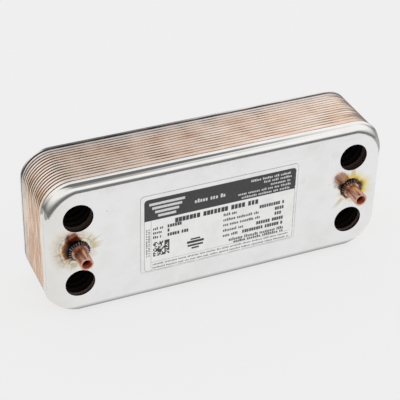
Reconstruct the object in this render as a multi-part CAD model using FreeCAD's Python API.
import FreeCAD, Part
import math
import os

# Brazed plate heat exchanger for a boiler, lying on its long narrow side.
# Millimetres. +X runs along the length and +Z across the width. The stack runs back
# along +Y from the front face, which is the plane y = 0 and carries the four ports.
# The origin is on the front face, midway between the two threaded studs.

# Outline, at the edge of the front cover's skirt
OVERALL_LENGTH = 189.6
OVERALL_WIDTH = 78.0
CORNER_RADIUS = 17.0

# Sheet metal
COVER_THICKNESS = 0.8
COVER_EASE_RADIUS = 9.0
EASE_TURN = 10.0
COVER_BEND_RADIUS = 2.6
COVER_SKIRT_DEPTH = 5.6
COVER_LIP_RADIUS = 2.5
COVER_LIP_TURN = 20.0
COVER_LIP_RUN = 0.95
PLATE_THICKNESS = 0.4
PLATE_EASE_RADIUS = 8.2
PLATE_BEND_RADIUS = 1.6
PLATE_SKIRT_DEPTH = 8.1
REAR_SKIRT_DEPTH = 8.3
REAR_BEND_RADIUS = 2.0

# Stack
PLATE_COUNT = 14
PLATE_PITCH = 2.186
SKIRT_GAP = 0.04

# Ports
PORT_SPACING_X = 154.0
PORT_SPACING_Z = 40.0
PORT_RADIUS = 8.0
PORT_RIM_RADIUS = 8.4
PORT_PAD_RADIUS = 11.4

# Chevron grooves pressed in the channel plates
FIELD_HALF_LENGTH = 62.5
FIELD_HALF_WIDTH = 32.5
GROOVE_PITCH = 8.0
GROOVE_MOUTH_HALF_WIDTH = 2.9
GROOVE_FLOOR_HALF_WIDTH = 1.2
CHEVRON_ANGLE = 60.0

# Copper braze fillets along the skirt edges
SEAM_RUN = 0.6
SEAM_RISE = 0.7

# Internally threaded weld studs and their weld collars
STUD_SPACING = 154.0
STUD_LENGTH = 11.8
STUD_RADIUS = 3.5
STUD_FLANGE_RADIUS = 4.5
STUD_FLANGE_HEIGHT = 1.4
STUD_BORE_RADIUS = 2.5
STUD_BORE_DEPTH = 9.0
STUD_MOUTH_CHAMFER = 0.2
STUD_EDGE_ROUND = 0.25
DRILL_POINT_ANGLE = 118.0
COLLAR_RADIUS = 6.1
COLLAR_HEIGHT = 1.3
COLLAR_CROWN_RADIUS = 5.2

# Rating label
LABEL_LENGTH = 88.5
LABEL_WIDTH = 48.0
LABEL_CENTRE_Z = 0.4
LABEL_THICKNESS = 0.12
LABEL_CORNER_RADIUS = 2.0

CORNER_X = OVERALL_LENGTH / 2 - CORNER_RADIUS
CORNER_Z = OVERALL_WIDTH / 2 - CORNER_RADIUS
SKIRT_ANGLE = math.degrees(math.asin((PLATE_THICKNESS + SKIRT_GAP) / PLATE_PITCH))

ORIGIN = FreeCAD.Vector(0, 0, 0)
X_AXIS = FreeCAD.Vector(1, 0, 0)
Y_AXIS = FreeCAD.Vector(0, 1, 0)
Z_AXIS = FreeCAD.Vector(0, 0, 1)


def vec(x, y, z):
    return FreeCAD.Vector(x, y, z)


def plate_front(index):
    """The y of the front of plate number index, counted from 1 behind the front cover."""
    return COVER_THICKNESS + (index - 1) * PLATE_PITCH


def polygon(points):
    return Part.makePolygon(points + [points[0]])


def line(start, end):
    return Part.LineSegment(start, end).toShape()


def arc(start, middle, end):
    return Part.Arc(start, middle, end).toShape()


# A section through the rim is drawn at the corner centre (CORNER_X, CORNER_Z). Its points
# are (reach, y): the distance outwards from that centre, and the depth into the stack.

def at_corner(point):
    return vec(CORNER_X + point[0], point[1], CORNER_Z)


def step_on(point, heading, distance):
    """Move a section point; heading 0 points outwards and heading 90 points backwards."""
    turn = math.radians(heading)
    return point[0] + distance * math.cos(turn), point[1] + distance * math.sin(turn)


def sheet_path(flat_reach, moves, thickness):
    """Follow the outside of a bent sheet from the corner centre, across its flat face.

    Each move is (radius, turn, run): a bend of that radius, turning back by turn degrees
    or, if turn is negative, outwards, and then a straight run. The result holds, for each
    stretch, its outer points and its inner points: two for a run and three for a bend.
    """
    here = (flat_reach, 0.0)
    heading = 0.0
    stretches = [([(0.0, 0.0), here], [(0.0, thickness), (flat_reach, thickness)])]
    for radius, turn, run in moves:
        side = 90 if turn > 0 else -90
        inner_radius = radius - math.copysign(thickness, turn)
        centre = step_on(here, heading + side, radius)
        headings = [heading, heading + turn / 2, heading + turn]
        outer = [step_on(centre, h - side, radius) for h in headings]
        inner = [step_on(centre, h - side, inner_radius) for h in headings]
        stretches.append((outer, inner))
        heading += turn
        here = outer[2]
        if run > 0:
            here = step_on(here, heading, run)
            stretches.append(([outer[2], here], [inner[2], step_on(inner[2], heading, run)]))
    return stretches


def edge_of(points):
    return (arc if len(points) == 3 else line)(*[at_corner(point) for point in points])


def sheet_section(stretches):
    outer = [edge_of(points) for points, _ in stretches]
    inner = [edge_of(points[::-1]) for _, points in reversed(stretches)]
    outer_end, inner_end = skirt_edge(stretches)
    free_edge = edge_of([outer_end, inner_end])
    first_outer, first_inner = stretches[0]
    closing = edge_of([first_inner[0], first_outer[0]])
    return Part.Face(Part.Wire(outer + [free_edge] + inner + [closing]))


def skirt_edge(stretches):
    """Outer and inner corner of a skirt's free edge."""
    outer, inner = stretches[-1]
    return outer[-1], inner[-1]


def cover_path():
    """Path of the front cover: eased face, bend, straight skirt and turned-out lip."""
    ease = (COVER_EASE_RADIUS, EASE_TURN, 0)
    turn = 90 - EASE_TURN
    lip = (COVER_LIP_RADIUS, -COVER_LIP_TURN, COVER_LIP_RUN)
    trial = sheet_path(0, [ease, (COVER_BEND_RADIUS, turn, 0), lip], COVER_THICKNESS)
    reach, depth = skirt_edge(trial)[0]
    bend = (COVER_BEND_RADIUS, turn, COVER_SKIRT_DEPTH - depth)
    return sheet_path(CORNER_RADIUS - reach, [ease, bend, lip], COVER_THICKNESS)


def flared_path(thickness, ease_radius, bend_radius, depth):
    """Path of a plate whose skirt lies on the common line of the channel plates' skirts."""
    flare = math.radians(SKIRT_ANGLE)
    ease = (ease_radius, EASE_TURN, 0)
    turn = 90 - SKIRT_ANGLE - EASE_TURN
    trial = sheet_path(0, [ease, (bend_radius, turn, 0)], thickness)
    trial_reach, trial_depth = skirt_edge(trial)[0]
    flat_reach = PLATE_REACH - trial_reach + trial_depth * math.tan(flare)
    bend = (bend_radius, turn, (depth - trial_depth) / math.cos(flare))
    return sheet_path(flat_reach, [ease, bend], thickness)


def plate_reach():
    """Reach of the channel skirts' common line at each plate's own front.

    The first plate's skirt passes the inside of the cover's lip with the skirt gap, where
    the lip has turned to the skirts' own flare.
    """
    flare = math.radians(SKIRT_ANGLE)
    lip_inside = cover_path()[-2][1]
    lip_radius = COVER_LIP_RADIUS + COVER_THICKNESS
    touch_reach = lip_inside[0][0] + lip_radius * (1 - math.cos(flare))
    touch_depth = lip_inside[0][1] + lip_radius * math.sin(flare)
    reach = touch_reach - SKIRT_GAP / math.cos(flare)
    return reach - (touch_depth - COVER_THICKNESS) * math.tan(flare)


PLATE_REACH = plate_reach()


def seam_section(stretches, start_y, next_y):
    """Concave fillet from a skirt's edge down to the next plate's skirt inside it."""
    outer, inner = [(reach, y + start_y) for reach, y in skirt_edge(stretches)]
    skirt = 90 - SKIRT_ANGLE
    base = (PLATE_REACH, next_y)
    along = ((inner[0] - base[0]) * math.cos(math.radians(skirt))
             + (inner[1] - base[1]) * math.sin(math.radians(skirt)))
    root = step_on(base, skirt, along)
    toe = step_on(base, skirt, along + SEAM_RUN)
    top = [i + (o - i) * SEAM_RISE for o, i in zip(outer, inner)]
    hollow = [(r + 2 * t + 2 * e) / 5 for r, t, e in zip(root, top, toe)]
    return Part.Face(Part.Wire([edge_of([root, inner]), edge_of([inner, top]),
                                edge_of([top, hollow, toe]), edge_of([toe, root])]))


def swept_round_rim(section):
    """Carry a rim section round the rounded rectangle: four corners and four straights."""
    corner = section.revolve(vec(CORNER_X, 0, CORNER_Z), -Y_AXIS, 90)
    end = section.extrude(vec(0, 0, -2 * CORNER_Z))
    side = section.copy()
    side.rotate(vec(CORNER_X, 0, CORNER_Z), -Y_AXIS, 90)
    side = side.extrude(vec(-2 * CORNER_X, 0, 0))
    other_corner = corner.mirror(ORIGIN, Z_AXIS)
    half = [corner, end, side, other_corner]
    pieces = list(half)
    for piece in half:
        turned = piece.copy()
        turned.rotate(ORIGIN, Y_AXIS, 180)
        pieces.append(turned)
    return pieces[0].fuse(pieces[1:])


def tray(path, thickness):
    """A whole plate blank, with its front face on y = 0."""
    rim = swept_round_rim(sheet_section(path))
    floor = Part.makeBox(2 * CORNER_X, thickness, 2 * CORNER_Z, vec(-CORNER_X, 0, -CORNER_Z))
    return rim.fuse(floor).removeSplitter()


def plate_path():
    return flared_path(PLATE_THICKNESS, PLATE_EASE_RADIUS, PLATE_BEND_RADIUS, PLATE_SKIRT_DEPTH)


def port_centres(signs_z=(1, -1)):
    return [vec(sign_x * PORT_SPACING_X / 2, 0, sign_z * PORT_SPACING_Z / 2)
            for sign_z in signs_z for sign_x in (-1, 1)]


def cylinder_along_y(centre, radius, start, end):
    return Part.makeCylinder(radius, end - start, vec(centre.x, start, centre.z), Y_AXIS)


def chevrons(mouth_y, mouth_half, floor_y, floor_half, grow):
    """Solid V-shaped bars from depth mouth_y to floor_y, trimmed to the pressed field."""
    rise = FIELD_HALF_WIDTH + grow
    run = rise / math.tan(math.radians(CHEVRON_ANGLE))
    count = int((2 * FIELD_HALF_LENGTH + run) / GROOVE_PITCH)
    first = FIELD_HALF_LENGTH - GROOVE_PITCH / 2 - (count - 1) * GROOVE_PITCH
    bars = []
    for number in range(count):
        apex = first + number * GROOVE_PITCH
        section = Part.Face(polygon([
            vec(apex - mouth_half, mouth_y, 0),
            vec(apex + mouth_half, mouth_y, 0),
            vec(apex + floor_half, floor_y, 0),
            vec(apex - floor_half, floor_y, 0),
        ]))
        for sign_z in (1, -1):
            bars.append(section.extrude(vec(run, 0, sign_z * rise)))
    field = Part.makeBox(2 * (FIELD_HALF_LENGTH + grow), floor_y - mouth_y, 2 * rise,
                         vec(-FIELD_HALF_LENGTH - grow, mouth_y, -rise))
    return [bar.common(field) for bar in bars]


def port_wells(mouth_y, mouth_radius, floor_y, floor_radius):
    """Solid cones that sink the two lower ports to the back of the plate."""
    return [Part.makeCone(mouth_radius, floor_radius, floor_y - mouth_y,
                          vec(centre.x, mouth_y, centre.z), Y_AXIS)
            for centre in port_centres((-1,))]


def channel_plate():
    """Plate with chevron grooves and sunk lower ports, front face on y = 0."""
    depth = PLATE_PITCH - PLATE_THICKNESS
    slope = (GROOVE_MOUTH_HALF_WIDTH - GROOVE_FLOOR_HALF_WIDTH) / depth
    wall = PLATE_THICKNESS * math.hypot(1, slope)
    mouth_back = GROOVE_MOUTH_HALF_WIDTH - slope * PLATE_THICKNESS + wall
    floor_back = GROOVE_MOUTH_HALF_WIDTH - slope * PLATE_PITCH + wall
    well_mouth = PORT_PAD_RADIUS + slope * depth
    well_mouth_back = well_mouth - slope * PLATE_THICKNESS + wall
    well_floor_back = well_mouth - slope * PLATE_PITCH + wall
    blank = tray(plate_path(), PLATE_THICKNESS)
    bulges = chevrons(PLATE_THICKNESS, mouth_back, PLATE_PITCH, floor_back, PLATE_THICKNESS)
    bulges += port_wells(PLATE_THICKNESS, well_mouth_back, PLATE_PITCH, well_floor_back)
    hollows = chevrons(0, GROOVE_MOUTH_HALF_WIDTH, depth, GROOVE_FLOOR_HALF_WIDTH, 0)
    hollows += port_wells(0, well_mouth, depth, PORT_PAD_RADIUS)
    holes = [cylinder_along_y(centre, PORT_RIM_RADIUS, -1, PLATE_PITCH + 1)
             for centre in port_centres()]
    return blank.fuse(bulges).cut(hollows + holes).removeSplitter()


def turned_plate(plate):
    """The same pressing turned half a turn in its own plane, so that chevrons cross."""
    turned = plate.copy()
    turned.rotate(ORIGIN, Y_AXIS, 180)
    return turned


def rounded_rectangle(length, width, radius, centre_z, y):
    """Face on the plane y, facing along Y."""
    half_x = length / 2
    half_z = width / 2
    diagonal = radius * (1 - math.sqrt(0.5))
    edges = []
    for turn in range(4):
        along, across = (half_x, half_z) if turn % 2 == 0 else (half_z, half_x)
        corner = [vec(along, 0, across - radius), vec(along - diagonal, 0, across - diagonal),
                  vec(along - radius, 0, across)]
        edge_line = line(vec(along, 0, radius - across), corner[0])
        for edge in (edge_line, arc(*corner)):
            edge.rotate(ORIGIN, Y_AXIS, -90 * turn)
            edges.append(edge)
    face = Part.Face(Part.Wire(Part.__sortEdges__(edges)))
    face.translate(vec(0, y, centre_z))
    return face


def stud_centres():
    return {"left": vec(-STUD_SPACING / 2, 0, 0), "right": vec(STUD_SPACING / 2, 0, 0)}


def rating_label():
    face = rounded_rectangle(LABEL_LENGTH, LABEL_WIDTH, LABEL_CORNER_RADIUS, LABEL_CENTRE_Z, 0)
    return face.extrude(vec(0, -LABEL_THICKNESS, 0))


def front_cover():
    blank = tray(cover_path(), COVER_THICKNESS)
    holes = [cylinder_along_y(centre, PORT_RADIUS, -1, COVER_THICKNESS + 1)
             for centre in port_centres()]
    cover = blank.cut(holes).removeSplitter()
    # The footprints of the label and of the weld collars are marked out on the front face.
    footprints = [rounded_rectangle(LABEL_LENGTH, LABEL_WIDTH, LABEL_CORNER_RADIUS,
                                    LABEL_CENTRE_Z, 0)]
    for centre in stud_centres().values():
        footprints.append(Part.Face(Part.Wire(Part.makeCircle(COLLAR_RADIUS, centre, Y_AXIS))))
    marked = cover.generalFuse(footprints)[0]
    return marked.Solids[0]


def rear_cover():
    path = flared_path(COVER_THICKNESS, PLATE_EASE_RADIUS, REAR_BEND_RADIUS, REAR_SKIRT_DEPTH)
    return tray(path, COVER_THICKNESS)


def revolved_about_stud(edges):
    """Turn a half section, drawn with radius along X and height along -Y, about Y."""
    return Part.Face(Part.Wire(edges)).revolve(ORIGIN, Y_AXIS, 360)


def stud():
    """Flanged stud with a blind bore, standing on y = 0 and pointing along -Y."""
    round_middle = STUD_EDGE_ROUND * (1 - math.sqrt(0.5))
    mouth = STUD_BORE_RADIUS + STUD_MOUTH_CHAMFER
    bottom = STUD_LENGTH - STUD_BORE_DEPTH
    point = bottom - STUD_BORE_RADIUS / math.tan(math.radians(DRILL_POINT_ANGLE / 2))
    centre_bottom = vec(0, 0, 0)
    flange_bottom = vec(STUD_FLANGE_RADIUS, 0, 0)
    flange_top = vec(STUD_FLANGE_RADIUS, -STUD_FLANGE_HEIGHT, 0)
    barrel_bottom = vec(STUD_RADIUS, -STUD_FLANGE_HEIGHT, 0)
    barrel_top = vec(STUD_RADIUS, STUD_EDGE_ROUND - STUD_LENGTH, 0)
    round_point = vec(STUD_RADIUS - round_middle, round_middle - STUD_LENGTH, 0)
    rim = vec(STUD_RADIUS - STUD_EDGE_ROUND, -STUD_LENGTH, 0)
    mouth_rim = vec(mouth, -STUD_LENGTH, 0)
    bore_top = vec(STUD_BORE_RADIUS, STUD_MOUTH_CHAMFER - STUD_LENGTH, 0)
    bore_bottom = vec(STUD_BORE_RADIUS, -bottom, 0)
    drill_tip = vec(0, -point, 0)
    return revolved_about_stud([
        line(centre_bottom, flange_bottom),
        line(flange_bottom, flange_top),
        line(flange_top, barrel_bottom),
        line(barrel_bottom, barrel_top),
        arc(barrel_top, round_point, rim),
        line(rim, mouth_rim),
        line(mouth_rim, bore_top),
        line(bore_top, bore_bottom),
        line(bore_bottom, drill_tip),
        line(drill_tip, centre_bottom),
    ])


def weld_collar():
    """Domed bead of weld metal round the stud's flange, its side upright at the foot."""
    spread = COLLAR_RADIUS - COLLAR_CROWN_RADIUS
    dome_radius = (spread ** 2 + COLLAR_HEIGHT ** 2) / (2 * spread)
    half_turn = math.asin(COLLAR_HEIGHT / dome_radius) / 2
    inner_foot = vec(STUD_FLANGE_RADIUS, 0, 0)
    outer_foot = vec(COLLAR_RADIUS, 0, 0)
    crown = vec(COLLAR_CROWN_RADIUS, -COLLAR_HEIGHT, 0)
    shoulder = vec(COLLAR_RADIUS - dome_radius * (1 - math.cos(half_turn)),
                   -dome_radius * math.sin(half_turn), 0)
    inner_top = vec(STUD_FLANGE_RADIUS, -COLLAR_HEIGHT, 0)
    return revolved_about_stud([
        line(inner_foot, outer_foot),
        arc(outer_foot, shoulder, crown),
        line(crown, inner_top),
        line(inner_top, inner_foot),
    ])


def braze_seam(index):
    """Fillet behind the skirt edge of part number index, where 0 is the front cover."""
    path = plate_path() if index else cover_path()
    start_y = plate_front(index) if index else 0
    section = seam_section(path, start_y, plate_front(index + 1))
    return swept_round_rim(section).removeSplitter()


def write(name, shape):
    shape.exportStep(f"parts/{name}.step")
    print(name, "valid", shape.isValid(), "solids", len(shape.Solids),
          "volume", round(shape.Volume, 2))


def main():
    os.makedirs("parts", exist_ok=True)
    write("front_cover_plate", front_cover())
    pressing = channel_plate()
    pressings = [pressing, turned_plate(pressing)]
    for index in range(1, PLATE_COUNT + 1):
        plate = pressings[(index - 1) % 2].copy()
        plate.translate(vec(0, plate_front(index), 0))
        write(f"channel_plate_{index:02d}", plate)
    back = rear_cover()
    back.translate(vec(0, plate_front(PLATE_COUNT + 1), 0))
    write("rear_cover_plate", back)
    for index in range(PLATE_COUNT + 1):
        write(f"braze_seam_{index + 1:02d}", braze_seam(index))
    for side, centre in stud_centres().items():
        for name, shape in (("stud", stud()), ("weld_collar", weld_collar())):
            shape.translate(centre)
            write(f"{name}_{side}", shape)
    write("rating_label", rating_label())


main()
